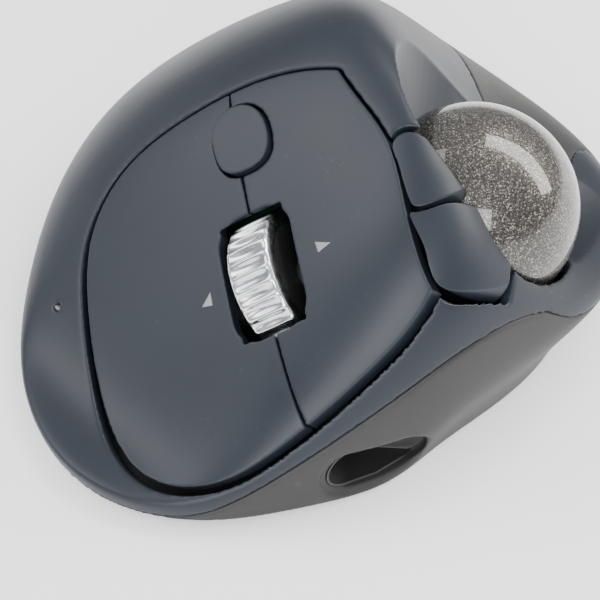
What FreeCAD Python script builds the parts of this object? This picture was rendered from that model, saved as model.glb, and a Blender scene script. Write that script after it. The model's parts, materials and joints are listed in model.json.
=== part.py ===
import FreeCAD, Part
import math
import os
from FreeCAD import Placement, Rotation, Vector

# Thumb-operated trackball mouse, millimetres.  -Y is the nose, +X the thumb side, +Z up.
# The origin is under the middle of the housing, on the surface that the feet stand on.

os.makedirs("parts", exist_ok=True)
doc = FreeCAD.newDocument("trackball_mouse")

# ---------------------------------------------------------------- driving dimensions
SIZES = [
    ("body_length", 113.6), ("body_width", 100.0), ("crest_height", 53.5),
    ("wall", 2.2), ("floor_wall", 2.0), ("foot_height", 0.8), ("button_gap", 0.85), ("fine_gap", 0.35),
    ("ball_dia", 34.0), ("ball_gap", 0.5), ("lip_gap", 0.75), ("cup_wall", 1.8), ("bearing_dia", 2.5),
    ("wheel_dia", 22.6), ("wheel_width", 7.6), ("wheel_depth", 7.4), ("slot_length", 21.0),
    ("slot_width", 13.4), ("axle_dia", 2.6), ("running_gap", 0.06), ("rib_count", 30),
    ("board_thick", 1.2), ("board_gap", 0.6), ("deck_board_depth", 10.0),
    ("button_travel", 0.9), ("key_travel", 0.6), ("screw_dia", 2.0), ("eject_dia", 10.0),
    ("port_width", 15.0), ("port_height", 7.4), ("port_depth", 8.5),
]
sheet = doc.addObject("Spreadsheet::Sheet", "sizes")
for row, (alias, value) in enumerate(SIZES, start=1):
    sheet.set("A%d" % row, alias)
    sheet.set("B%d" % row, str(value))
    sheet.setAlias("B%d" % row, alias)
doc.recompute()


def size(alias):
    """A driving dimension, read back from the sheet."""
    return float(sheet.get(alias))


LENGTH, WIDTH, CREST = size("body_length"), size("body_width"), size("crest_height")
WALL, FLOOR, FOOT = size("wall"), size("floor_wall"), size("foot_height")
GAP, FINE = size("button_gap"), size("fine_gap")
BALL_R = size("ball_dia") / 2

# ---------------------------------------------------------------- the sculpted outer form
# Widest outline in plan, on a body 100 wide and 113.6 long, round from the nose.
OUTLINE = [(-20, -56.3), (-37, -48.5), (-47, -30.5), (-49.6, -10.5), (-47, 10.5), (-39.5, 29.5),
           (-26, 45.5), (-8, 56), (12, 56), (29, 46.5), (41, 31.5), (49, 12.5), (50, -5.5),
           (44, -18.5), (32, -32.5), (17, -44.5), (-2, -53)]
POLE = (-9.0, -26.0)          # the rings close here, inside the wheel slot
RIDGE_X = [(-60, 22), (-38.5, 21), (-23.5, 19), (-8.5, 13), (6.5, 6), (26.5, 3), (66.5, 3)]
RIDGE_Z = [(-60, 30), (-43.5, 37), (-29.5, 45), (-13.5, 51), (2.5, 53.5), (20.5, 50), (40.5, 40), (66.5, 20)]
WING_Z = [(-60, 22), (-33.5, 22), (-13.5, 19), (6.5, 20), (26.5, 21), (51.5, 17), (66.5, 12)]
ROLL = [(-60, 0.74), (-23.5, 0.70), (6.5, 0.62), (31.5, 0.50), (68.5, 0.35)]
RIDGE_ROUND, THUMB_RUN, DOME_POWER = 5.0, 17.0, 3.4
NOSE_LOW, NOSE_BLEND = 5.0, 2.0     # the deck never comes lower than this above the table
RIM_HEIGHT, WING_LIFT = 2.6, 10.4   # the widest outline above the floor, and its rise at the wing
RINGS, SPOKES = 15, 36


def curve(points, closed=False):
    """An interpolating spline through flat points."""
    spline = Part.BSplineCurve()
    spline.interpolate(Points=[Vector(p[0], p[1], 0) for p in points], PeriodicFlag=closed)
    return spline


def profile(points):
    """A smooth function y -> value through a few stations."""
    line = curve(points)
    first, last = line.FirstParameter, line.LastParameter
    table = [line.value(first + (last - first) * i / 200.0) for i in range(201)]

    def value(y):
        y = min(max(y, table[0].x), table[-1].x)
        for a, b in zip(table, table[1:]):
            if y <= b.x:
                return a.y + (b.y - a.y) * (y - a.x) / (b.x - a.x)
        return table[-1].y
    return value


ridge_x, ridge_z, wing_z, roll = profile(RIDGE_X), profile(RIDGE_Z), profile(WING_Z), profile(ROLL)
SX, SY, SZ = WIDTH / 100.0, LENGTH / 113.6, CREST / 53.5


def top_height(x, y):
    """Height of the unrounded top: a rolled deck, a ridge by the ball, and a dished thumb side."""
    x, y = x / SX, y / SY
    side, crest = x - ridge_x(y), ridge_z(y)
    slope = roll(y)
    if side < 0:
        edge = slope * RIDGE_ROUND
        height = crest - math.hypot(slope * side, edge) + edge
    else:
        height = crest - (crest - wing_z(y)) * (1 - math.exp(-(side / THUMB_RUN) ** 2))
    spare = (height - NOSE_LOW) / NOSE_BLEND
    return SZ * (NOSE_LOW + NOSE_BLEND * (spare if spare > 30 else math.log(1 + math.exp(spare))))


outline_curve = curve([(x * SX, y * SY) for x, y in OUTLINE], closed=True)
_first, _last = outline_curve.FirstParameter, outline_curve.LastParameter
_dense = [outline_curve.value(_first + (_last - _first) * i / 720.0) for i in range(720)]
_polar = sorted((math.atan2(p.y - POLE[1], p.x - POLE[0]), math.hypot(p.x - POLE[0], p.y - POLE[1]))
                for p in _dense)


def outline_radius(angle):
    """Distance from the pole to the widest outline."""
    angle = math.atan2(math.sin(angle), math.cos(angle))
    before = _polar[-1][0] - 2 * math.pi, _polar[-1][1]
    for after in _polar + [(_polar[0][0] + 2 * math.pi, _polar[0][1])]:
        if angle <= after[0]:
            share = (angle - before[0]) / (after[0] - before[0])
            return before[1] + (after[1] - before[1]) * share
        before = after
    return before[1]


def thumb_share(angle):
    """1 under the thumb wing, 0 on the other sides, smooth between."""
    off = math.atan2(math.sin(angle - math.radians(8)), math.cos(angle - math.radians(8)))
    return math.exp(-(off / math.radians(42)) ** 4)


def form_point(angle, t):
    """A point of the outer form: t runs 0 at the pole, 1 at the widest outline, 2 at the floor."""
    reach = outline_radius(angle)
    wing = thumb_share(angle)
    rim = FOOT + RIM_HEIGHT + WING_LIFT * wing
    if t <= 1:
        s = math.sin(t * math.pi / 2) ** 0.9
        x, y = POLE[0] + s * reach * math.cos(angle), POLE[1] + s * reach * math.sin(angle)
        dome = (1 - s ** DOME_POWER) ** (1 / DOME_POWER)
        return Vector(x, y, rim + (top_height(x, y) - rim) * dome)
    down = t - 1
    s = 1 - (0.02 + 0.16 * wing) * math.sin(down * math.pi / 2)
    return Vector(POLE[0] + s * reach * math.cos(angle), POLE[1] + s * reach * math.sin(angle),
                  rim + (FOOT - rim) * down)


def form_solid(inset=0.0):
    """The outer form as a solid; a positive inset moves its whole skin inwards."""
    stations = [i / (RINGS - 3.0) for i in range(RINGS - 2)] + [1.5, 2.0]
    low = FOOT - 5 if inset > 0 else FOOT
    rows = []
    for t in stations:
        row = []
        for k in range(SPOKES):
            angle = 2 * math.pi * k / SPOKES
            point = form_point(angle, t)
            if inset:
                e = 1e-3
                t0, t1 = max(t - e, 1e-3), min(max(t, 1e-3) + e, 2.0)
                along = form_point(angle, t1) - form_point(angle, t0)
                round_ = form_point(angle + e, max(t, 0.02)) - form_point(angle - e, max(t, 0.02))
                normal = round_.cross(along)
                normal.normalize()
                if t == 0:
                    normal = DECK_UP * -1
                point = point + normal * inset
            row.append(point)
        if t == 0:
            row = [row[0]] * SPOKES
        if t == 2.0:
            row = [Vector(p.x, p.y, low) for p in row]
        rows.append(row)
    surface = Part.BSplineSurface()
    ends = len(rows) - 2
    surface.buildFromPolesMultsKnots(rows, [4] + [1] * (ends - 2) + [4], [1] * (SPOKES + 1),
                                     list(range(ends)), list(range(SPOKES + 1)), False, True, 3, 3)
    skin = surface.toShape()
    rim = [e for e in skin.Edges if e.BoundBox.ZMax < low + 0.01]
    bottom = Part.Face(Part.Wire(rim))
    shell = Part.makeShell([skin, bottom])
    shell.sewShape()
    solid = Part.makeSolid(shell)
    if solid.Volume < 0:
        solid.reverse()
    return solid


# ---------------------------------------------------------------- the deck: plane of the main buttons
DECK_UP = Vector(-0.505, -0.469, 0.722).normalize()
DECK_SIDE = Vector(0, 1, 0).cross(DECK_UP).normalize()
DECK_BACK = DECK_UP.cross(DECK_SIDE)
_mid = Vector(-8.7 * SX, -28.4 * SY, 0)
DECK = Placement(Vector(_mid.x, _mid.y, top_height(_mid.x, _mid.y)), Rotation(DECK_SIDE, DECK_BACK, DECK_UP, "ZXY"))


# ---------------------------------------------------------------- makers
nodes = {}


def keep(obj, label):
    """Names a finished sub-part; its label is its file's name."""
    obj.Label = label
    nodes[label] = obj
    return obj


def feature(label, shape):
    """A sculpted sub-part, set from Part's own functions."""
    obj = doc.addObject("Part::Feature", label)
    obj.Shape = shape
    return keep(obj, label)


def prim(kind, name, place, **sizes):
    """A Part primitive whose sizes are bound to expressions on the sheet."""
    obj = doc.addObject("Part::" + kind, name)
    for prop, expression in sizes.items():
        obj.setExpression(prop, str(expression))
    obj.Placement = place
    return obj


def fuse(name, parts):
    obj = doc.addObject("Part::MultiFuse", name)
    obj.Shapes = parts
    return obj


def cut(name, base, tool):
    obj = doc.addObject("Part::Cut", name)
    obj.Base, obj.Tool = base, tool
    return obj


def at(x, y, z, axis=None, angle=0.0):
    return Placement(Vector(x, y, z), Rotation(axis or Vector(0, 0, 1), angle))


def on_deck(u, v, n, axis=None, angle=0.0):
    """A placement in the deck's frame: u to the thumb side, v to the back, n out of the deck."""
    return DECK.multiply(at(u, v, n, axis, angle))


def spline_edge(points):
    return curve(points).toShape()


def deck_prism(wire, low, high):
    """The space over a flat outline, along the deck's normal."""
    solid = Part.Face(wire).extrude(Vector(0, 0, high - low))
    solid.translate(Vector(0, 0, low))
    solid.Placement = DECK.multiply(solid.Placement)
    return solid


def offset_wire(wire, amount):
    """The outline moved out by an amount, or in by a negative one, as plain splines."""
    edges = []
    for edge in wire.makeOffset2D(amount, 0, False, False, True).Edges:
        points = edge.discretize(max(8, int(edge.Length / 4)))
        spline = Part.BSplineCurve()
        spline.interpolate(points)
        edges.append(spline.toShape())
    return Part.Wire(Part.__sortEdges__(edges))


def block(x0, y0, z0, x1, y1, z1):
    return Part.makeBox(x1 - x0, y1 - y0, z1 - z0, Vector(x0, y0, z0))


def one(shape):
    """The largest solid of a result, with its faces tidied."""
    return max(shape.Solids, key=lambda solid: solid.Volume)


X, Y, Z = Vector(1, 0, 0), Vector(0, 1, 0), Vector(0, 0, 1)

# ---------------------------------------------------------------- form, seam and outlines
FLOOR_TOP = FOOT + FLOOR
form = form_solid()
inner = form_solid(WALL)
BIG = 90.0

# The seam between the shell and the base, seen from the front: low by the little finger, high by the thumb.
SEAM_STEPS = 44
SEAM = [(-60, 1.3), (-24, 1.3), (-17, 2.2), (-8, 6.2), (4, 13.2), (16, 20.6), (24, 24.3), (30, 24.6),
        (36, 21.8), (41, 16.6), (47, 13.4), (62, 12.6)]
seam_curve = Part.BSplineCurve()
seam_curve.interpolate([Vector(x * SX, -BIG, z) for x, z in SEAM[1:]])
seam_points = [Vector(SEAM[0][0] * SX, -BIG, SEAM[0][1])] + seam_curve.toShape().discretize(SEAM_STEPS)
seam_points += [Vector(SEAM[-1][0] * SX, -BIG, -5), Vector(SEAM[0][0] * SX, -BIG, -5)]
below_seam = Part.Face(Part.makePolygon(seam_points + seam_points[:1])).extrude(Vector(0, 2 * BIG, 0))

# The pair of main buttons, then the keys, all in the deck's frame.
PAIR_FRONT = [(26.3, -12.8), (19.8, -18), (12.6, -21.6), (5.5, -24.6), (-5, -28.4), (-15.4, -30.4),
              (-24.5, -27.6), (-31.3, -18), (-33.9, -5), (-33.6, 8), (-31, 19), (-22.6, 28.2),
              (-8, 32.4), (6, 32.8), (20.5, 28.3)]
PAIR_THUMB = [(20.5, 28.3), (23.3, 21.1), (26.5, 12.2), (27.0, 0), (26.3, -12.8)]
BACK_KEY = [(27.4, 1.0), (27.1, 4.5), (26.9, 8.5), (26.9, 11.8), (28.8, 12.8), (30.6, 12.0), (32.2, 8.8), (33.6, 5.5), (34.0, 3.0), (33.2, 1.7)]
FORWARD_KEY = [(27.4, -0.6), (31, -0.4), (33.8, -0.2), (35.3, -1.4), (35.7, -3.6), (34.6, -7.4), (32.6, -10.8),
               (30, -12.4), (27.2, -12.2), (27.0, -8), (27.1, -4)]
SPEED_KEY = [(1.0, 29.4), (5.2, 27.6), (6.8, 22.6), (5.8, 18.6), (2.4, 17.4), (-1.6, 18.6), (-3.0, 22.6), (-2.4, 27.4)]
KEYS_HOLE = [(26.2, -13.2), (26.2, -9), (26.2, -4), (26.2, 0), (26.2, 4), (26.1, 8), (26.2, 12), (28.7, 13.8), (31.3, 12.6), (33.2, 9), (34.6, 5.4), (35, 2),
             (36.4, -1), (36.9, -3.6), (35.6, -7.6), (33.4, -11.6), (30, -13.6)]
SPLIT_U = 0.6
GAP_LEAN_U, GAP_LEAN_V = 0.30, 0.42  # the pair sits towards the back and the thumb, so its gap is widest in front

pair_wire = Part.Wire([spline_edge(PAIR_FRONT), spline_edge(PAIR_THUMB)])
back_wire = Part.Wire(curve(BACK_KEY, closed=True).toShape())
forward_wire = Part.Wire(curve(FORWARD_KEY, closed=True).toShape())
speed_wire = Part.Wire(curve(SPEED_KEY, closed=True).toShape())


def slot_wire(width, length, radius):
    """A rounded rectangle round the wheel, in the deck's frame."""
    hw, hl, c = width / 2 - radius, length / 2 - radius, SPLIT_U
    q = radius * math.sqrt(0.5)
    corner = [Part.Arc(Vector(c + sx * hw + (radius if a else 0) * sx, sy * hl + (0 if a else radius) * sy, 0),
                       Vector(c + sx * (hw + q), sy * (hl + q), 0),
                       Vector(c + sx * hw + (0 if a else radius) * sx, sy * hl + (radius if a else 0) * sy, 0)).toShape()
              for sx, sy, a in ((1, 1, True), (-1, 1, False), (-1, -1, True), (1, -1, False))]
    edges = []
    for k, arc in enumerate(corner):
        edges.append(arc)
        edges.append(Part.makeLine(arc.Vertexes[-1].Point, corner[(k + 1) % 4].Vertexes[0].Point))
    return Part.Wire(edges)


slot_prism = deck_prism(slot_wire(size("slot_width"), size("slot_length"), 4.5), -16, 15)
pair_prism = deck_prism(pair_wire, -14, 15)
button_wire = offset_wire(pair_wire, -GAP)
button_wire.translate(Vector(GAP_LEAN_U, GAP_LEAN_V, 0))
button_prism = deck_prism(button_wire, -14, 15)
KEY_LOW = -18
keys_hole = deck_prism(Part.Wire(curve(KEYS_HOLE, closed=True).toShape()), KEY_LOW - size("key_travel") - 0.5, 15)
speed_hole = deck_prism(offset_wire(speed_wire, GAP / 2), -14, 15)

# ---------------------------------------------------------------- ball and its socket
BALL = Vector(24.0 * SX, -10.5 * SY, 28.8)
OPEN_AXIS = Vector(0.604, 0.436, 0.667).normalize()
LIP_HEIGHT, LIP_R = 3.2, BALL_R + size("lip_gap")
open_turn = Rotation(Z, OPEN_AXIS)


def along_open(shape):
    """Puts a shape made about Z onto the ball's opening axis."""
    shape.Placement = Placement(BALL, open_turn).multiply(shape.Placement)
    return shape


ball_room = Part.makeSphere(LIP_R, BALL)
mouth = along_open(Part.makeCylinder(LIP_R, LIP_HEIGHT + 0.1))
DISH_RUN, DISH_RISE = 30.0, 34.0


def dish_solid(grow=0.0):
    """The hollow that leads the thumb onto the ball; grown, it keeps a wall behind it."""
    return along_open(Part.makeCone(LIP_R + 0.5 + grow, LIP_R + 0.5 + grow + DISH_RUN, DISH_RISE,
                                    Vector(0, 0, LIP_HEIGHT - grow)))



# ---------------------------------------------------------------- housing
dish = dish_solid()
outside = form.cut(dish)
inside = inner.cut(dish_solid(WALL))
room = form_solid(WALL + 0.4).cut(dish_solid(WALL + 0.4))


def above(z, shape):
    return shape.common(block(-BIG, -BIG, z, BIG, BIG, BIG))


SCREW_SPOTS = [(-37, 14), (-15, 42), (13, 41), (-42, -18)]
screw_r = size("screw_dia") / 2
bosses = [Part.makeCylinder(3.0, 60, Vector(x * SX, y * SY, FLOOR_TOP + 0.1)).common(form_solid(1.0))
          for x, y in SCREW_SPOTS]
screw_bores = [Part.makeCylinder(screw_r, 7.2, Vector(x * SX, y * SY, FLOOR_TOP)) for x, y in SCREW_SPOTS]
shell_shape = outside.cut(inside)
for tool in (below_seam, ball_room.fuse(mouth), keys_hole, pair_prism):
    shell_shape = one(shell_shape.cut(tool))
shell_shape = shell_shape.fuse(bosses)
for bore in screw_bores:
    shell_shape = shell_shape.cut(bore)
feature("top_shell", one(shell_shape))

PORT_X, PORT_Z, PORT_FLOOR = 11.2 * SX, 6.3, -39.0 * SY
port_hw, port_hh = size("port_width") / 2, size("port_height") / 2


def rounded_bar(hw, hh, y0, y1, x=PORT_X, z=PORT_Z):
    """A bar along Y with round sides."""
    bar = block(x - hw + hh, y0, z - hh, x + hw - hh, y1, z + hh)
    ends = [Part.makeCylinder(hh, y1 - y0, Vector(x + side * (hw - hh), y0, z), Y) for side in (-1, 1)]
    return bar.fuse(ends).removeSplitter()


port_back = PORT_FLOOR + 1.5
port_pocket = rounded_bar(port_hw, port_hh, -70 * SY, PORT_FLOOR)
port_box = rounded_bar(port_hw + 1.4, port_hh + 1.4, -70 * SY, port_back)
port_lip = rounded_bar(port_hw + 0.9, port_hh + 0.9, -70 * SY, PORT_FLOOR - 2).cut(form_solid(0.8))
port_window = rounded_bar(4.6, 1.8, PORT_FLOOR - 1, port_back + 1)
base_ring = outside.common(below_seam).cut(above(FLOOR_TOP, inside))
plate = form_solid(WALL + 0.15).common(block(-BIG, -BIG, FOOT, BIG, BIG, FLOOR_TOP))
base_shape = base_ring.fuse(plate).fuse(port_box.common(outside).common(below_seam))
EJECT = Part.makeCylinder(size("eject_dia") / 2, 40, Vector(BALL.x, BALL.y, -1))
KNOB, PAIR_KEY = Vector(-33 * SX, 6 * SY, 0), Vector(-31 * SX, 24 * SY, 0)
base_cuts = [port_pocket, port_lip, port_window, EJECT, ball_room,
             block(KNOB.x - 2.4, KNOB.y - 5.5, 0, KNOB.x + 2.4, KNOB.y + 5.5, 8),
             Part.makeCylinder(2.6, 8, Vector(PAIR_KEY.x, PAIR_KEY.y, 0))]
base_cuts += [Part.makeCylinder(2.2, 1.4, Vector(x * SX, y * SY, FOOT - 0.1)) for x, y in SCREW_SPOTS]
base_cuts += [Part.makeCylinder(screw_r, 9, Vector(x * SX, y * SY, FOOT)) for x, y in SCREW_SPOTS]
for tool in base_cuts:
    base_shape = base_shape.cut(tool)
feature("base", one(base_shape))

# ---------------------------------------------------------------- buttons and keys
skin = form.cut(inner)
split_prism = deck_prism(Part.Wire(Part.makePolygon([Vector(SPLIT_U + a * FINE / 2, b * 50, 0)
                         for a, b in ((-1, -1), (1, -1), (1, 1), (-1, 1), (-1, -1))])), -16, 16)
wheel_sweep = Part.makeCylinder(size("wheel_dia") / 2 + size("button_travel"), size("wheel_width") + 4.0,
                                Vector(0, 0, -size("wheel_width") / 2 - 2.0))
wheel_sweep.Placement = on_deck(SPLIT_U, 0, -size("wheel_depth"), Y, 90)
halves = skin.common(button_prism).cut(slot_prism).cut(speed_hole).cut(split_prism).cut(wheel_sweep)
halves = sorted(halves.Solids, key=lambda v: v.Volume)[-2:]
right_shape, left_shape = sorted(halves, key=lambda v: v.CenterOfMass.x)
SWITCH_SPOTS = {"left": (11.4, -9.0), "right": (-15.2, -3.0)}
BOARD_N = -size("deck_board_depth") - 2.0
SWITCH_TALL, TRAVEL = 5.0, size("button_travel")
stem_low = BOARD_N + SWITCH_TALL + 1.0 + TRAVEL


def with_stem(shape, spot):
    """Adds the post that reaches down to the button's micro switch."""
    stem = Part.makeCylinder(1.6, 5.0 - 1.2 + abs(stem_low) - 5.0)
    stem.Placement = on_deck(spot[0], spot[1], stem_low)
    whole = shape.fuse(stem)
    return one(whole)


feature("left_button", with_stem(left_shape, SWITCH_SPOTS["left"]))
feature("right_button", with_stem(right_shape, SWITCH_SPOTS["right"]))
key_skin = outside.cut(inner)
feature("back_button", one(key_skin.common(deck_prism(back_wire, KEY_LOW, 15)).cut(ball_room)))
feature("forward_button", one(key_skin.common(deck_prism(forward_wire, KEY_LOW, 15)).cut(ball_room)))
feature("speed_button", one(form_solid(-0.9).cut(inner).common(deck_prism(speed_wire, -14, 15))))

# ---------------------------------------------------------------- ball, cup, bearings and sensor
CUP_IN, CUP_OUT = BALL_R + size("ball_gap"), BALL_R + size("ball_gap") + size("cup_wall")
bearing_r = size("bearing_dia") / 2
ball = prim("Sphere", "ball", Placement(BALL, Rotation()), Radius="sizes.ball_dia / 2")
keep(ball, "trackball")
SENSOR_DIR = Vector(-0.30, 0.60, -0.74).normalize()
sensor_turn = Rotation(Z, SENSOR_DIR)


def toward_sensor(shape):
    shape.Placement = Placement(BALL, sensor_turn).multiply(shape.Placement)
    return shape


bearing_spots = []
for k in range(3):
    away = open_turn.multVec(Rotation(Z, 60 + 120 * k).multVec(Vector(math.sin(math.radians(118)), 0,
                                                                 math.cos(math.radians(118)))))
    bearing_spots.append(BALL + away * (BALL_R + bearing_r))
cup = Part.makeSphere(CUP_OUT, BALL).cut(Part.makeSphere(CUP_IN, BALL))
cup = cup.common(along_open(Part.makeCylinder(40, 40, Vector(0, 0, -41.0)))).common(room)
cup = cup.cut(EJECT).cut(toward_sensor(Part.makeCylinder(2.6, 30)))
for spot in bearing_spots:
    away = (spot - BALL).normalize()
    cup = cup.cut(Part.makeCylinder(bearing_r, 6.0, spot - away * 3.0, away))
feature("ball_cup", one(cup))
feature("support_bearings", Part.makeCompound([Part.makeSphere(bearing_r, spot) for spot in bearing_spots]))
lens = toward_sensor(Part.makeCylinder(3.6, 1.6, Vector(0, 0, CUP_OUT + 0.1)))
feature("sensor_lens", lens)
chip = toward_sensor(Part.makeBox(9, 9, 2.2, Vector(-4.5, -4.5, CUP_OUT + 1.7)))
feature("optical_sensor", chip)
feature("sensor_board", toward_sensor(Part.makeBox(14, 12, 1.0, Vector(-7, -6, CUP_OUT + 3.9))))

# ---------------------------------------------------------------- wheel
WHEEL_R, HUB_R, AXLE_R = size("wheel_dia") / 2, size("wheel_dia") / 2 - 2.6, size("axle_dia") / 2
WHEEL_W = size("wheel_width")
axle_n = -size("wheel_depth")
PIVOT_N = axle_n - WHEEL_R - 1.8
wheel_place = on_deck(SPLIT_U, 0, axle_n, Y, 90)
ribs = int(size("rib_count"))
ring = []
for k in range(4 * ribs):
    turn = 2 * math.pi * k / (4 * ribs)
    r = WHEEL_R - 0.38 + 0.38 * math.cos(ribs * turn)
    ring.append(Vector(r * math.cos(turn), r * math.sin(turn), -WHEEL_W / 2))
tread = Part.BSplineCurve()
tread.interpolate(Points=ring, PeriodicFlag=True)
rim = Part.Face(Part.Wire(tread.toShape())).extrude(Vector(0, 0, WHEEL_W))
rim = rim.cut(Part.makeCylinder(HUB_R, WHEEL_W + 2, Vector(0, 0, -WHEEL_W / 2 - 1)))
rim.Placement = wheel_place
feature("wheel_rim", rim)
hub_outer = prim("Cylinder", "hub_disc", wheel_place.multiply(at(0, 0, -WHEEL_W / 2)),
                 Radius="sizes.wheel_dia / 2 - 2.6", Height="sizes.wheel_width")
hub_boss = prim("Cylinder", "hub_boss", wheel_place.multiply(at(0, 0, -WHEEL_W / 2 - 0.8)),
                Radius="sizes.axle_dia / 2 + 1.4", Height="sizes.wheel_width + 1.6")
hub_bore = prim("Cylinder", "hub_bore", wheel_place.multiply(at(0, 0, -WHEEL_W)),
                Radius="sizes.axle_dia / 2 + sizes.running_gap", Height="2 * sizes.wheel_width")
keep(cut("hub_cut", fuse("hub_body", [hub_outer, hub_boss]), hub_bore), "wheel_hub")
ARM_IN = WHEEL_W / 2 + 1.4
ARM = 1.5
axle = prim("Cylinder", "axle_rod", wheel_place.multiply(at(0, 0, -ARM_IN - ARM)),
            Radius="sizes.axle_dia / 2", Height=2 * (ARM_IN + ARM))
keep(axle, "wheel_axle")
yoke = []
for side in (-1, 1):
    u0 = SPLIT_U + (ARM_IN if side > 0 else -ARM_IN - ARM)
    yoke.append(Part.makeBox(ARM, 6, axle_n + 2.6 - PIVOT_N, Vector(u0, -3, PIVOT_N)))
yoke.append(Part.makeBox(2 * (ARM_IN + ARM), 6, 2.6, Vector(SPLIT_U - ARM_IN - ARM, -3, PIVOT_N - 1.3)))
yoke_shape = yoke[0].fuse(yoke[1:])
yoke_shape = yoke_shape.cut(Part.makeCylinder(AXLE_R, 30, Vector(SPLIT_U - 15, 0, axle_n), X))
PIN_R = 0.8
yoke_shape = yoke_shape.cut(Part.makeCylinder(PIN_R + size("running_gap"), 30, Vector(SPLIT_U, -15, PIVOT_N), Y))
yoke_shape.Placement = DECK
feature("wheel_yoke", one(yoke_shape))
encoder = Part.makeBox(2.2, 7, 7, Vector(SPLIT_U - ARM_IN - ARM - 2.2, -3.5, axle_n - 4.4))
encoder.Placement = DECK
feature("wheel_encoder", encoder)
pin = Part.makeCylinder(PIN_R, 13, Vector(SPLIT_U, -6.5, PIVOT_N), Y)
pin.Placement = DECK
feature("tilt_pin", pin)
CRADLE_LOW = PIVOT_N - 2.9
cradle = Part.makeBox(8, 18, 1.0, Vector(SPLIT_U - 4, -9, CRADLE_LOW))
for v0 in (-6.5, 3.9):
    cradle = cradle.fuse(Part.makeBox(5, 2.6, PIVOT_N + 1.8 - CRADLE_LOW, Vector(SPLIT_U - 2.5, v0, CRADLE_LOW)))
cradle = cradle.cut(Part.makeCylinder(PIN_R, 30, Vector(SPLIT_U, -15, PIVOT_N), Y))
guide_spots = [(SPLIT_U, -7.8), (SPLIT_U, 7.8)]
for u, v in guide_spots:
    cradle = cradle.cut(Part.makeCylinder(0.9 + size("running_gap"), 20, Vector(u, v, CRADLE_LOW - 5)))
cradle.Placement = DECK
feature("wheel_cradle", one(cradle))
KEY_TRAVEL = size("key_travel")
BRACKET_TOP = CRADLE_LOW - KEY_TRAVEL - 0.3
bracket = Part.makeBox(10, 18, 1.2, Vector(SPLIT_U - 5, -9, BRACKET_TOP - 1.2))
for u, v in guide_spots:
    bracket = bracket.fuse(Part.makeCylinder(0.9, CRADLE_LOW + 2.2 - BRACKET_TOP, Vector(u, v, BRACKET_TOP)))
bracket.Placement = DECK
over_bracket = Part.makeBox(200, 200, 100, Vector(-100, -100, BRACKET_TOP - 0.4))
over_bracket.Placement = DECK
for u, v in ((SPLIT_U - 3, -7), (SPLIT_U - 3, 7), (SPLIT_U + 4, 0)):
    leg_at = DECK.multVec(Vector(u, v, BRACKET_TOP))
    leg = Part.makeCylinder(1.4, 60, Vector(leg_at.x, leg_at.y, FLOOR_TOP))
    bracket = bracket.fuse(leg.cut(over_bracket))
feature("wheel_bracket", one(bracket))

# ---------------------------------------------------------------- boards and switches
board = Part.makeBox(50, 42, size("board_thick"), Vector(-27, -16, BOARD_N - size("board_thick")))
wheel_room = Part.makeBox(2 * (ARM_IN + ARM) + 6, 31, 40, Vector(SPLIT_U - ARM_IN - ARM - 5, -15.5, -40))
board = board.cut(wheel_room)
board.Placement = DECK
cup_room = Part.makeSphere(CUP_OUT + 0.6, BALL)
board = above(FLOOR_TOP + 4, board.common(room).cut(cup_room))
for x, y in SCREW_SPOTS:
    board = board.cut(Part.makeCylinder(3.4, 60, Vector(x * SX, y * SY, 0)))
feature("deck_board", one(board))


def micro_switch(label, spot):
    """A snap-action switch with its plunger, standing on the deck board."""
    u, v = spot
    body = Part.makeBox(6, 12.8, SWITCH_TALL, Vector(u - 3, v - 6.4, BOARD_N))
    plunger = Part.makeBox(1.4, 2.8, 1.0, Vector(u - 0.7, v - 1.4, BOARD_N + SWITCH_TALL))
    body = body.fuse(plunger)
    body.Placement = DECK
    return feature(label, one(body))


micro_switch("left_switch", SWITCH_SPOTS["left"])
micro_switch("right_switch", SWITCH_SPOTS["right"])
tact = Part.makeBox(6, 6, 3.4, Vector(1.9 - 3, 20.4, BOARD_N)).fuse(
    Part.makeCylinder(1.7, 0.8, Vector(1.9, 23.4, BOARD_N + 3.4)))
tact.Placement = DECK
feature("speed_switch", one(tact))
posts, post_spots = [], []
for u, v in ((-22, -2), (-20, 20), (12, 22)):
    head = DECK.multVec(Vector(u, v, BOARD_N - size("board_thick")))
    post = Part.makeCylinder(2.2, 60, Vector(head.x, head.y, FLOOR_TOP))
    lid = Part.makeBox(200, 200, 100, Vector(-100, -100, BOARD_N - size("board_thick")))
    lid.Placement = DECK
    posts.append(post.cut(lid))
    post_spots.append((head.x, head.y))
feature("board_posts", Part.makeCompound([one(p) for p in posts]))
main = block(-24, port_back + 0.05, 3.5, 19, -26, 4.7).fuse(block(-20, -26, 3.5, -2, 9, 4.7)).removeSplitter()
for x, y in post_spots:
    main = main.cut(Part.makeCylinder(2.6, 9, Vector(x, y, 0)))
feature("main_board", one(main))
usb_y0 = port_back + 0.05
usb = block(PORT_X - 4.5, usb_y0, 4.7, PORT_X + 4.5, usb_y0 + 7.3, 7.9)
usb = usb.cut(block(PORT_X - 4.2, usb_y0 - 1, 5.0, PORT_X + 4.2, usb_y0 + 6.3, 7.6))
usb = usb.fuse(block(PORT_X - 3.3, usb_y0 + 0.8, 6.0, PORT_X + 3.3, usb_y0 + 6.4, 6.6))
feature("usb_socket", one(usb))
cell = block(-21, 14, 4.2, 13, 35, 10.6)
cell = cell.makeFillet(2.0, [e for e in cell.Edges if abs(e.tangentAt(e.FirstParameter).x) > 0.9])
feature("battery", cell)
tray = block(-23, 12, FLOOR_TOP, 15, 37, 7.0).cut(block(-21.1, 13.9, 4.1, 13.1, 35.1, 9))
feature("battery_tray", one(tray))

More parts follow.
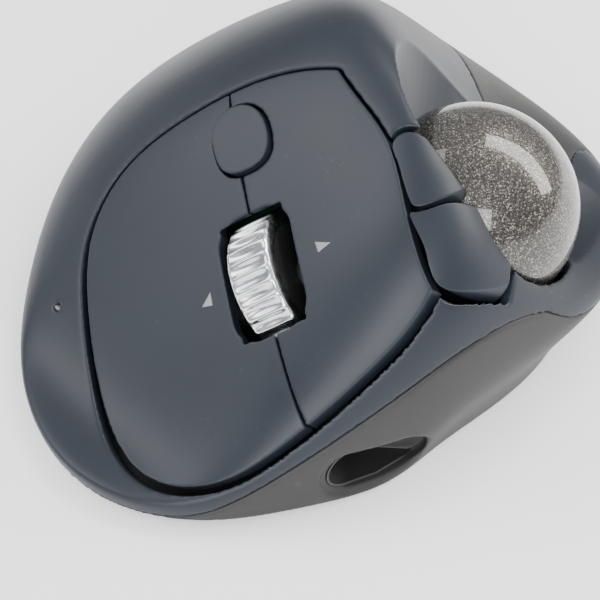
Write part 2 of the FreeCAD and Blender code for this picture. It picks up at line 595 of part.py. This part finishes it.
# ---------------------------------------------------------------- underside
knob = block(KNOB.x - 2.1, KNOB.y - 3.4, FOOT + 0.1, KNOB.x + 2.1, KNOB.y + 0.6, FLOOR_TOP + 0.1)
knob = knob.fuse(block(KNOB.x - 3.4, KNOB.y - 5.0, FLOOR_TOP + 0.1, KNOB.x + 3.4, KNOB.y + 1.6, FLOOR_TOP + 1.0))
feature("power_slider", one(knob))
key = Part.makeCylinder(2.3, FLOOR + 0.2, Vector(PAIR_KEY.x, PAIR_KEY.y, FOOT)).fuse(
    Part.makeCylinder(3.6, 0.8, Vector(PAIR_KEY.x, PAIR_KEY.y, FLOOR_TOP + 0.1)))
feature("pairing_button", one(key))
FOOT_SPOTS = [(-20, -44), (-38, -2), (-24, 36), (20, 42), (34, 12), (18, -28)]
feature("feet", Part.makeCompound([Part.makeCylinder(4.0, FOOT, Vector(x * SX, y * SY, 0)) for x, y in FOOT_SPOTS]))
screws = []
for x, y in SCREW_SPOTS:
    head = Part.makeCylinder(1.9, 1.1, Vector(x * SX, y * SY, FOOT + 0.2))
    screws.append(one(head.fuse(Part.makeCylinder(screw_r, 7.5, Vector(x * SX, y * SY, FOOT + 1.3)))))
feature("case_screws", Part.makeCompound(screws))

# ---------------------------------------------------------------- checks and export
doc.recompute()
for obj in doc.Objects:
    if "Invalid" in obj.State or "Error" in obj.State:
        raise RuntimeError("failed object: %s %s" % (obj.Label, obj.State))
for label, obj in nodes.items():
    if obj.Shape.isNull() or not obj.Shape.isValid():
        raise RuntimeError("bad shape: " + label)
for label, obj in nodes.items():
    obj.Shape.exportStep("parts/%s.step" % label)
print(len(nodes), "sub-parts")
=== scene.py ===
"""Looks of the thumb trackball mouse: shell, keys, wheel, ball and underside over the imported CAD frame."""
import json
import math

import bmesh
import bpy
from mathutils import Matrix, Vector
from mathutils.bvhtree import BVHTree

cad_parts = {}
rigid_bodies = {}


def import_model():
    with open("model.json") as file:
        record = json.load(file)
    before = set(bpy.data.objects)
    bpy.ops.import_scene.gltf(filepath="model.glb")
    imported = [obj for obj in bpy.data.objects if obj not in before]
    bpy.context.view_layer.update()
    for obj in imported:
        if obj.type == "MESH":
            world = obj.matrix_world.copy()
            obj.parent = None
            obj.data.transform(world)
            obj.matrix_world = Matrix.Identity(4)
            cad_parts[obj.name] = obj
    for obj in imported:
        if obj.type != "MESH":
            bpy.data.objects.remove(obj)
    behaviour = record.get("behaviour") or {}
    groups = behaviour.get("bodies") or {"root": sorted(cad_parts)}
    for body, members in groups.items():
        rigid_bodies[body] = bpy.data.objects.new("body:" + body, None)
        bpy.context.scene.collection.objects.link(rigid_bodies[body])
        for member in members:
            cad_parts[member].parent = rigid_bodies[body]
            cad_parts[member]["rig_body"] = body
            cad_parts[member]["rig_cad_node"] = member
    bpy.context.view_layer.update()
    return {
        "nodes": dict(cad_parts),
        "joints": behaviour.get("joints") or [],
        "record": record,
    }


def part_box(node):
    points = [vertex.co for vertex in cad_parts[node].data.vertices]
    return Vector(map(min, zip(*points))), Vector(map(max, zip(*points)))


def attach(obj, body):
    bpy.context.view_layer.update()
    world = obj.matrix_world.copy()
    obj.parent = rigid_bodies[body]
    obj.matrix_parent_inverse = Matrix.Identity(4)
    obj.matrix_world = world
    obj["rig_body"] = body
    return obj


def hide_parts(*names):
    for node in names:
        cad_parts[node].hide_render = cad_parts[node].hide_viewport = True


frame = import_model()
MM = 0.001
record = frame["record"]
SLOTS = {part["node"]: part["material_slot"] for part in record["subparts"]}


# ---------------------------------------------------------------- shader groups and materials
class Tree:
    """Short calls for building a node tree."""

    def __init__(self, tree):
        self.tree = tree

    def add(self, kind, **values):
        node = self.tree.nodes.new(kind)
        for name, value in values.items():
            if hasattr(node, name):
                setattr(node, name, value)
            else:
                node.inputs[name.replace("_", " ")].default_value = value
        return node

    def link(self, out, into):
        self.tree.links.new(out, into)

    def ramp(self, factor, low, high, dark, light):
        """A colour that goes from dark to light as the factor goes from low to high."""
        node = self.add("ShaderNodeValToRGB")
        node.color_ramp.elements[0].position = low
        node.color_ramp.elements[1].position = high
        node.color_ramp.elements[0].color = (*dark, 1)
        node.color_ramp.elements[1].color = (*light, 1)
        self.link(factor, node.inputs["Fac"])
        return node.outputs["Color"]

    def maths(self, operation, first, second):
        node = self.add("ShaderNodeMath", operation=operation)
        for value, socket in ((first, node.inputs[0]), (second, node.inputs[1])):
            if isinstance(value, (int, float)):
                socket.default_value = value
            else:
                self.link(value, socket)
        return node.outputs[0]


def shader_group(name, inputs, outputs):
    """An empty shader group with float inputs and float outputs, and its in and out nodes."""
    group = bpy.data.node_groups.new(name, "ShaderNodeTree")
    for socket, value in inputs.items():
        group.interface.new_socket(socket, in_out="INPUT", socket_type="NodeSocketFloat").default_value = value
    for socket in outputs:
        group.interface.new_socket(socket, in_out="OUTPUT", socket_type="NodeSocketFloat")
    tree = Tree(group)
    return group, tree, tree.add("NodeGroupInput"), tree.add("NodeGroupOutput")


def moulded_grain():
    """Spark-eroded grain: a fine height, and a slow mottle for colour and roughness."""
    group, tree, given, result = shader_group(
        "moulded_grain", {"Grain": 2600.0, "Mottle": 60.0}, ("Height", "Mottle"))
    place = tree.add("ShaderNodeTexCoord").outputs["Object"]
    fine = tree.add("ShaderNodeTexNoise", Detail=3.0, Roughness=0.65)
    pits = tree.add("ShaderNodeTexVoronoi")
    slow = tree.add("ShaderNodeTexNoise", Detail=4.0, Roughness=0.55)
    for node in (fine, pits, slow):
        tree.link(place, node.inputs["Vector"])
    tree.link(given.outputs["Grain"], fine.inputs["Scale"])
    tree.link(given.outputs["Grain"], pits.inputs["Scale"])
    tree.link(given.outputs["Mottle"], slow.inputs["Scale"])
    height = tree.maths("ADD", fine.outputs["Fac"], tree.maths("MULTIPLY", pits.outputs["Distance"], 0.5))
    tree.link(height, result.inputs["Height"])
    tree.link(slow.outputs["Fac"], result.inputs["Mottle"])
    return group


def edge_wear():
    """How much an edge is rubbed, from the mesh's own sharpness, broken up by noise."""
    group, tree, given, result = shader_group(
        "edge_wear", {"From": 0.56, "To": 0.68, "Patch": 350.0}, ("Wear",))
    sharp = tree.add("ShaderNodeNewGeometry").outputs["Pointiness"]
    span = tree.add("ShaderNodeMapRange")
    tree.link(sharp, span.inputs["Value"])
    tree.link(given.outputs["From"], span.inputs["From Min"])
    tree.link(given.outputs["To"], span.inputs["From Max"])
    noise = tree.add("ShaderNodeTexNoise", Detail=3.0)
    tree.link(tree.add("ShaderNodeTexCoord").outputs["Object"], noise.inputs["Vector"])
    tree.link(given.outputs["Patch"], noise.inputs["Scale"])
    tree.link(tree.maths("MULTIPLY", span.outputs["Result"], noise.outputs["Fac"]), result.inputs["Wear"])
    return group


GRAIN, WEAR = moulded_grain(), edge_wear()


def start(name, **sockets):
    """A material with a Principled shader, and its tree."""
    made = bpy.data.materials.new(name)
    made.use_nodes = True
    shader = made.node_tree.nodes["Principled BSDF"]
    for socket, value in sockets.items():
        shader.inputs[socket.replace("_", " ")].default_value = value
    return made, Tree(made.node_tree), shader


def place_group(tree, group, **values):
    node = tree.add("ShaderNodeGroup", node_tree=group)
    for name, value in values.items():
        node.inputs[name].default_value = value
    return node


def bumped(tree, shader, height, strength, distance):
    bump = tree.add("ShaderNodeBump", Strength=strength, Distance=distance)
    tree.link(height, bump.inputs["Height"])
    tree.link(bump.outputs["Normal"], shader.inputs["Normal"])


def moulded(name, dark, light, rubbed, rough, grain, strength, depth=0.00002, **sockets):
    """Moulded plastic: grained, slightly mottled, and lighter and smoother where it is rubbed."""
    made, tree, shader = start(name, **sockets)
    texture = place_group(tree, GRAIN, Grain=grain)
    wear = place_group(tree, WEAR).outputs["Wear"]
    mix = tree.add("ShaderNodeMix", data_type="RGBA")
    tree.link(wear, mix.inputs["Factor"])
    tree.link(tree.ramp(texture.outputs["Mottle"], 0.3, 0.7, dark, light), mix.inputs["A"])
    mix.inputs["B"].default_value = (*rubbed, 1)
    tree.link(mix.outputs["Result"], shader.inputs["Base Color"])
    spread = tree.maths("MULTIPLY", texture.outputs["Mottle"], 0.16)
    worn = tree.maths("MULTIPLY", wear, -0.12)
    rubbed_rough = tree.maths("ADD", tree.maths("ADD", spread, rough - 0.08), worn)
    tree.link(rubbed_rough, shader.inputs["Roughness"])
    bumped(tree, shader, texture.outputs["Height"], strength, depth)
    return made


def metal(name, dark, light, rough, scale, stretch):
    """Bare metal with fine drawn lines."""
    made, tree, shader = start(name, Metallic=1.0)
    turn = tree.add("ShaderNodeMapping", Scale=stretch)
    tree.link(tree.add("ShaderNodeTexCoord").outputs["Object"], turn.inputs["Vector"])
    lines = tree.add("ShaderNodeTexNoise", Scale=scale, Detail=4.0)
    tree.link(turn.outputs["Vector"], lines.inputs["Vector"])
    tree.link(tree.ramp(lines.outputs["Fac"], 0.3, 0.7, dark, light), shader.inputs["Base Color"])
    tree.link(tree.maths("ADD", tree.maths("MULTIPLY", lines.outputs["Fac"], 0.18), rough - 0.09),
              shader.inputs["Roughness"])
    bumped(tree, shader, lines.outputs["Fac"], 0.15, 0.00001)
    return made


def ball_lacquer():
    """Fine metal flakes, each with its own brightness and tilt, under a smooth clear coat."""
    made, tree, shader = start("ball_glitter", Metallic=0.55, Coat_Weight=1.0, Coat_Roughness=0.04,
                               Coat_IOR=1.5)
    place = tree.add("ShaderNodeTexCoord").outputs["Object"]
    flakes = tree.add("ShaderNodeTexVoronoi", Scale=6200.0)
    cloud = tree.add("ShaderNodeTexNoise", Scale=260.0, Detail=3.0)
    for node in (flakes, cloud):
        tree.link(place, node.inputs["Vector"])
    parts = tree.add("ShaderNodeSeparateColor")
    tree.link(flakes.outputs["Color"], parts.inputs["Color"])
    shade = tree.add("ShaderNodeValToRGB")
    steps = shade.color_ramp.elements
    steps[0].position, steps[0].color = 0.0, (0.008, 0.0072, 0.0065, 1)
    steps[1].position, steps[1].color = 1.0, (0.60, 0.56, 0.49, 1)
    for position, colour in ((0.45, (0.028, 0.025, 0.022, 1)), (0.8, (0.10, 0.09, 0.079, 1))):
        steps.new(position).color = colour
    blend = tree.maths("ADD", tree.maths("MULTIPLY", parts.outputs["Red"], 0.86),
                       tree.maths("MULTIPLY", cloud.outputs["Fac"], 0.14))
    tree.link(blend, shade.inputs["Fac"])
    tree.link(shade.outputs["Color"], shader.inputs["Base Color"])
    tree.link(tree.maths("ADD", tree.maths("MULTIPLY", parts.outputs["Green"], 0.3), 0.25),
              shader.inputs["Roughness"])
    bumped(tree, shader, parts.outputs["Blue"], 0.35, 0.00003)
    return made


def circuit_board():
    """Green solder mask with faint tracks under it."""
    made, tree, shader = start("board_green", Coat_Weight=0.4, Coat_Roughness=0.15)
    place = tree.add("ShaderNodeTexCoord").outputs["Object"]
    tracks = tree.add("ShaderNodeTexBrick", Scale=260.0, Color1=(0.006, 0.040, 0.020, 1),
                      Color2=(0.005, 0.030, 0.015, 1), Mortar=(0.010, 0.075, 0.034, 1))
    tree.link(place, tracks.inputs["Vector"])
    tree.link(tracks.outputs["Color"], shader.inputs["Base Color"])
    noise = tree.add("ShaderNodeTexNoise", Scale=900.0)
    tree.link(place, noise.inputs["Vector"])
    tree.link(tree.maths("ADD", tree.maths("MULTIPLY", noise.outputs["Fac"], 0.2), 0.3), shader.inputs["Roughness"])
    bumped(tree, shader, tracks.outputs["Fac"], 0.3, 0.00003)
    return made


def lens_plastic():
    made, tree, shader = start("clear_lens", Transmission_Weight=0.9, IOR=1.49)
    noise = tree.add("ShaderNodeTexNoise", Scale=700.0)
    tree.link(tree.add("ShaderNodeTexCoord").outputs["Object"], noise.inputs["Vector"])
    tree.link(tree.maths("ADD", tree.maths("MULTIPLY", noise.outputs["Fac"], 0.08), 0.04),
              shader.inputs["Roughness"])
    tree.link(tree.ramp(noise.outputs["Fac"], 0.3, 0.7, (0.8, 0.84, 0.86), (0.93, 0.95, 0.96)),
              shader.inputs["Base Color"])
    return made


FINISHES = {
    "shell_navy": moulded("shell_navy", (0.0120, 0.0165, 0.0250), (0.0145, 0.0200, 0.0295),
                          (0.034, 0.043, 0.057), 0.42, 3400.0, 0.22, Specular_IOR_Level=0.40),
    "base_grey": moulded("base_grey", (0.020, 0.020, 0.0205), (0.027, 0.027, 0.0275), (0.06, 0.06, 0.062),
                         0.52, 2300.0, 0.55, depth=0.00004, Specular_IOR_Level=0.45),
    "black_plastic": moulded("black_plastic", (0.010, 0.010, 0.011), (0.016, 0.016, 0.017), (0.05, 0.05, 0.05),
                             0.42, 3000.0, 0.2),
    "chip_black": moulded("chip_black", (0.008, 0.008, 0.008), (0.013, 0.013, 0.013), (0.03, 0.03, 0.03),
                          0.55, 5000.0, 0.3),
    "foot_rubber": moulded("foot_rubber", (0.013, 0.013, 0.014), (0.02, 0.02, 0.021), (0.04, 0.04, 0.04),
                           0.72, 1800.0, 0.4),
    "ceramic_white": moulded("ceramic_white", (0.78, 0.77, 0.74), (0.86, 0.85, 0.82), (0.9, 0.9, 0.88),
                             0.12, 4000.0, 0.05, Coat_Weight=0.6),
    "wheel_metal": metal("wheel_metal", (0.62, 0.63, 0.65), (0.86, 0.87, 0.89), 0.24, 900.0, (0.2, 1.0, 1.0)),
    "steel": metal("steel", (0.42, 0.42, 0.43), (0.6, 0.6, 0.61), 0.34, 1200.0, (1.0, 0.25, 1.0)),
    "cell_foil": metal("cell_foil", (0.45, 0.46, 0.48), (0.62, 0.63, 0.65), 0.38, 300.0, (1.0, 1.0, 1.0)),
    "ball_glitter": ball_lacquer(),
    "board_green": circuit_board(),
    "mark_ink": moulded("mark_ink", (0.26, 0.265, 0.29), (0.30, 0.305, 0.33), (0.34, 0.34, 0.36),
                        0.5, 3400.0, 0.15),
    "clear_lens": lens_plastic(),
}


# ---------------------------------------------------------------- pieces made from the CAD nodes
def plain_mesh(obj, name):
    """The evaluated result as a new object with no modifiers; the old one goes."""
    graph = bpy.context.evaluated_depsgraph_get()
    mesh = bpy.data.meshes.new_from_object(obj.evaluated_get(graph))
    bpy.data.objects.remove(obj)
    made = bpy.data.objects.new(name, mesh)
    bpy.context.collection.objects.link(made)
    for face in mesh.polygons:
        face.use_smooth = True
    return made


def merged_copy(node, name):
    """A working copy of a CAD node with its loose triangles joined."""
    mesh = frame["nodes"][node].data.copy()
    work = bmesh.new()
    work.from_mesh(mesh)
    bmesh.ops.remove_doubles(work, verts=work.verts, dist=2e-6)
    work.to_mesh(mesh)
    work.free()
    mesh.materials.clear()
    copy = bpy.data.objects.new(name, mesh)
    bpy.context.collection.objects.link(copy)
    return copy


def finished(piece, node):
    """Gives a piece its finish and its body, and hides the node that it stands for."""
    slot = SLOTS[node]
    piece.data.materials.clear()
    piece.data.materials.append(FINISHES[slot])
    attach(piece, frame["nodes"][node]["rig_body"])
    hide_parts(node)
    return piece


def softened(node, name, voxel, most_triangles=180000, passes=3):
    """The node as a moulding, every edge eased: voxels about as wide as the rounding, then smoothed."""
    work = merged_copy(node, name + "_work")
    remesh = work.modifiers.new("voxels", "REMESH")
    remesh.mode, remesh.voxel_size, remesh.use_smooth_shade = "VOXEL", voxel, True
    smooth = work.modifiers.new("ease", "SMOOTH")
    smooth.factor, smooth.iterations = 0.5, passes
    work = plain_mesh(work, name + "_fine")
    triangles = sum(len(face.vertices) - 2 for face in work.data.polygons)
    if triangles > most_triangles:
        thin = work.modifiers.new("thin", "DECIMATE")
        thin.ratio = most_triangles / triangles
    return finished(plain_mesh(work, name), node)


softened("top_shell", "shell_moulding", 0.33 * MM, 195000, 12)
softened("base", "base_moulding", 0.36 * MM, 190000, 9)
for side in ("left", "right"):
    softened(side + "_button", side + "_button_moulding", 0.21 * MM, 150000, 4)
for key in ("speed", "back"):
    softened(key + "_button", key + "_key_moulding", 0.16 * MM, 60000)


# ---------------------------------------------------------------- the deck's own directions
def joint(name):
    return next(j for j in frame["joints"] if j["name"] == name)


wheel_centre = Vector(joint("wheel_spin")["pos_m"])
to_thumb = Vector(joint("wheel_spin")["axis"]).normalized()
to_back = Vector(joint("wheel_tilt")["axis"]).normalized()
deck_up = to_thumb.cross(to_back).normalized()


def surface_of(obj):
    """A ray caster on a mesh: the surface's point over or under a given one, seen from above the deck."""
    graph = bpy.context.evaluated_depsgraph_get()
    tree = BVHTree.FromObject(obj, graph)

    def hit(point):
        return tree.ray_cast(point + deck_up * 40 * MM, -deck_up)[0]

    return hit


softened("forward_button", "forward_key_moulding", 0.13 * MM, 90000)


# ---------------------------------------------------------------- tilt marks printed beside the wheel
def tilt_mark(name, body, corners):
    """A small printed triangle that lies on a button, given by its corners' places beside the wheel, in mm."""
    button = bpy.data.objects[body + "_moulding"]
    hit = surface_of(button)
    start_at = [wheel_centre + to_thumb * u * MM + to_back * v * MM for u, v in corners]
    steps, points, index = 6, [], {}
    for i in range(steps + 1):
        for j in range(steps + 1 - i):
            a, b = i / steps, j / steps
            spot = start_at[0] * (1 - a - b) + start_at[1] * a + start_at[2] * b
            index[i, j] = len(points)
            points.append(hit(spot) + deck_up * 0.015 * MM)
    faces = []
    for i in range(steps):
        for j in range(steps - i):
            faces.append((index[i, j], index[i + 1, j], index[i, j + 1]))
            if i + j < steps - 1:
                faces.append((index[i + 1, j], index[i + 1, j + 1], index[i, j + 1]))
    mesh = bpy.data.meshes.new(name)
    mesh.from_pydata(points, [], faces)
    work = bpy.data.objects.new(name + "_work", mesh)
    bpy.context.collection.objects.link(work)
    if mesh.polygons[0].normal.dot(deck_up) < 0:
        mesh.flip_normals()
    thick = work.modifiers.new("ink", "SOLIDIFY")
    thick.thickness, thick.offset = 0.03 * MM, -1.0
    piece = plain_mesh(work, name)
    piece.data.materials.clear()
    piece.data.materials.append(FINISHES["mark_ink"])
    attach(piece, body)


tilt_mark("tilt_mark_little_finger", "right_button", [(-9.6, 0.7), (-11.6, -1.1), (-9.7, -1.6)])
tilt_mark("tilt_mark_thumb", "left_button", [(10.3, 0.9), (12.9, -0.3), (10.5, -1.0)])


# ---------------------------------------------------------------- wheel
def wheel_rim():
    """The crowned metal rim: round ribs right round it, with wider hollows between them."""
    low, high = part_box("wheel_rim")
    node = frame["nodes"]["wheel_rim"].data
    offsets = [v.co - wheel_centre for v in node.vertices]
    half = max(o.dot(to_thumb) for o in offsets)
    outer = max((o - to_thumb * o.dot(to_thumb)).length for o in offsets)
    inner = min((o - to_thumb * o.dot(to_thumb)).length for o in offsets)
    ribs, per_rib = 30, 12
    rib_depth, crown, edge_round, edge_start = 0.78, 0.10, 0.55, 0.84
    across = [-1.0, -0.985, -0.95, -0.9, -0.8, -0.6, -0.35, 0.0, 0.35, 0.6, 0.8, 0.9, 0.95, 0.985, 1.0]
    rings = []
    count = ribs * per_rib
    for share in across:
        ring = []
        round_off = edge_round * max(0.0, abs(share) - edge_start) ** 2 / 0.0256
        for k in range(count):
            turn = 2 * math.pi * k / count
            ridge = (0.5 + 0.5 * math.cos(ribs * turn)) ** 1.8
            hollow = rib_depth * (1 - share * share) * (1 - ridge)
            radius = outer - (crown * share * share + hollow + round_off) * MM
            ring.append(wheel_centre + to_thumb * half * share
                        + (to_back * math.cos(turn) + deck_up * math.sin(turn)) * radius)
        rings.append(ring)
    for share in (1.0, -1.0):
        ring = []
        for k in range(count):
            turn = 2 * math.pi * k / count
            ring.append(wheel_centre + to_thumb * half * share
                        + (to_back * math.cos(turn) + deck_up * math.sin(turn)) * inner)
        rings.append(ring)
    points = [p for ring in rings for p in ring]
    faces = []
    for a in range(len(rings)):
        b = (a + 1) % len(rings)
        for k in range(count):
            n = (k + 1) % count
            faces.append((a * count + k, a * count + n, b * count + n, b * count + k))
    mesh = bpy.data.meshes.new("rim")
    mesh.from_pydata(points, [], faces)
    work = bmesh.new()
    work.from_mesh(mesh)
    bmesh.ops.recalc_face_normals(work, faces=work.faces)
    work.to_mesh(mesh)
    work.free()
    for face in mesh.polygons:
        face.use_smooth = True
    piece = bpy.data.objects.new("ribbed_wheel_rim", mesh)
    bpy.context.collection.objects.link(piece)
    edge = piece.modifiers.new("crisp", "EDGE_SPLIT")
    edge.split_angle = math.radians(50)
    return finished(plain_mesh(piece, "ribbed_wheel_rim_made"), "wheel_rim")


wheel_rim()


# ---------------------------------------------------------------- ball
def ball_piece():
    """A smooth sphere in the CAD ball's place."""
    low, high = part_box("trackball")
    centre, radius = (low + high) / 2, (high.x - low.x) / 2
    work = bmesh.new()
    bmesh.ops.create_icosphere(work, subdivisions=6, radius=radius)
    bmesh.ops.translate(work, verts=work.verts, vec=centre)
    mesh = bpy.data.meshes.new("ball")
    work.to_mesh(mesh)
    work.free()
    for face in mesh.polygons:
        face.use_smooth = True
    piece = bpy.data.objects.new("glitter_ball", mesh)
    bpy.context.collection.objects.link(piece)
    return finished(piece, "trackball")


ball_piece()


# ---------------------------------------------------------------- port, with painted shade inside it
def painted_shade_port_liner():
    """A black liner inside the charging port, from just behind its lip to its floor: painted shade that darkens the
    port's inside.
    """
    past_lip, lip_chamfer, behind_lip, spare_front = 1.6 * MM, 0.2 * MM, 1.5 * MM, -0.045
    recess = next(o for o in record["physics"]["openings"] if o["name"] == "plug_recess")["box_m"]
    middle_x, middle_z = (recess[0][0] + recess[1][0]) / 2, (recess[0][2] + recess[1][2]) / 2
    floor_y = recess[1][1]
    wall = BVHTree.FromObject(bpy.data.objects["base_moulding"], bpy.context.evaluated_depsgraph_get())
    half_width, half_height, thick, steps = 7.42 * MM, 3.62 * MM, 0.3 * MM, 40
    rows = [[], [], [], []]
    for k in range(steps):
        turn = 2 * math.pi * k / steps
        side = math.copysign(half_width - half_height, math.cos(turn)) if abs(math.cos(turn)) > 1e-6 else 0.0

        def ring(radius):
            return middle_x + side + radius * math.cos(turn), middle_z + radius * math.sin(turn)

        x, z = ring(half_height + past_lip)
        hit = wall.ray_cast(Vector((x, -0.1, z)), Vector((0, 1, 0)))[0]
        front = (hit.y if hit else spare_front) + behind_lip
        inside = half_height - thick
        for row, (radius, y) in enumerate(((half_height, front), (inside, front + lip_chamfer),
                                           (inside, floor_y), (half_height, floor_y))):
            x, z = ring(radius)
            rows[row].append(Vector((x, y, z)))
    points = [p for row in rows for p in row]
    faces = []
    for a in range(4):
        b = (a + 1) % 4
        for k in range(steps):
            n = (k + 1) % steps
            faces.append((a * steps + k, a * steps + n, b * steps + n, b * steps + k))
    mesh = bpy.data.meshes.new("port_shade_liner_mesh")
    mesh.from_pydata(points, [], faces)
    work = bmesh.new()
    work.from_mesh(mesh)
    bmesh.ops.recalc_face_normals(work, faces=work.faces)
    work.to_mesh(mesh)
    work.free()
    piece = bpy.data.objects.new("painted_shade_port_liner", mesh)
    bpy.context.collection.objects.link(piece)
    # painted shade: black plastic laid inside the port so its inside reads dark
    mesh.materials.append(FINISHES["black_plastic"])
    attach(piece, "housing")


painted_shade_port_liner()

# ---------------------------------------------------------------- CAD nodes that stay as they are
shown = {o.get("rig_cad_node") for o in bpy.data.objects if o.get("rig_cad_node") and not o.hide_render}
for node in sorted(shown):
    mesh = frame["nodes"][node].data
    mesh.materials.clear()
    mesh.materials.append(FINISHES[SLOTS[node]])


# ---------------------------------------------------------------- floor, lights and camera
def studio_floor():
    mesh = bpy.data.meshes.new("floor")
    half = 4.0
    corners = [(-half, -half, 0), (half, -half, 0), (half, half, 0), (-half, half, 0)]
    mesh.from_pydata(corners, [], [(0, 1, 2, 3)])
    floor = bpy.data.objects.new("studio_floor", mesh)
    bpy.context.collection.objects.link(floor)
    made, tree, shader = start("floor_paper", Roughness=0.9)
    noise = tree.add("ShaderNodeTexNoise", Scale=40.0)
    tree.link(tree.add("ShaderNodeTexCoord").outputs["Object"], noise.inputs["Vector"])
    tree.link(tree.ramp(noise.outputs["Fac"], 0.0, 1.0, (0.88, 0.88, 0.885), (0.9, 0.9, 0.905)),
              shader.inputs["Base Color"])
    shader.inputs["Emission Color"].default_value = (1, 1, 1, 1)
    shader.inputs["Emission Strength"].default_value = 0.52
    mesh.materials.append(made)


def soft_light(name, place, aim, width, height, watts, colour=(1, 1, 1), long_way=(0, 0, 1)):
    """A softbox at a place, facing its aim, with its height laid as near as it goes to the long way."""
    lamp = bpy.data.lights.new(name, "AREA")
    lamp.shape, lamp.size, lamp.size_y = "RECTANGLE", width, height
    lamp.energy, lamp.color = watts, colour
    obj = bpy.data.objects.new(name, lamp)
    bpy.context.collection.objects.link(obj)
    back = (Vector(place) - Vector(aim)).normalized()
    across = Vector(long_way).cross(back).normalized()
    turn = Matrix((across, back.cross(across), back)).transposed().to_4x4()
    obj.matrix_world = Matrix.Translation(Vector(place)) @ turn


def studio():
    studio_floor()
    world = bpy.data.worlds.new("studio_air")
    world.use_nodes = True
    tree = Tree(world.node_tree)
    way = tree.add("ShaderNodeSeparateXYZ")
    tree.link(tree.add("ShaderNodeTexCoord").outputs["Generated"], way.inputs["Vector"])
    tree.link(tree.ramp(way.outputs["Z"], 0.0, 0.85, (0.30, 0.30, 0.31), (0.95, 0.95, 0.97)),
              world.node_tree.nodes["Background"].inputs["Color"])
    bpy.context.scene.world = world
    low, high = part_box("trackball")
    ball = (low + high) / 2
    soft_light("arc_softbox", ball + Vector((0.65, 0.36, 0.67)).normalized() * 0.45, ball, 0.15, 0.60, 3.2,
               (1.0, 0.97, 0.92), (-0.87, 0.36, 0.61))
    soft_light("front_softbox", (-0.02, -0.75, 0.45), (0, 0, 0.02), 0.7, 0.35, 7.0)
    soft_light("left_softbox", (-0.55, 0.05, 0.55), (0, 0, 0.02), 0.5, 0.5, 3.0)


def camera():
    """A long lens from in front and above, a little to the thumb side."""
    data = bpy.data.cameras.new("view")
    data.lens, data.sensor_width = 164.5, 36.0
    data.clip_start, data.clip_end = 0.01, 10.0
    obj = bpy.data.objects.new("view", data)
    bpy.context.collection.objects.link(obj)
    obj.location = (0.0240, -0.3424, 0.3121)
    obj.rotation_euler = Vector((-0.0612, 0.7356, -0.6761)).to_track_quat("-Z", "Y").to_euler()
    bpy.context.scene.camera = obj


studio()
camera()
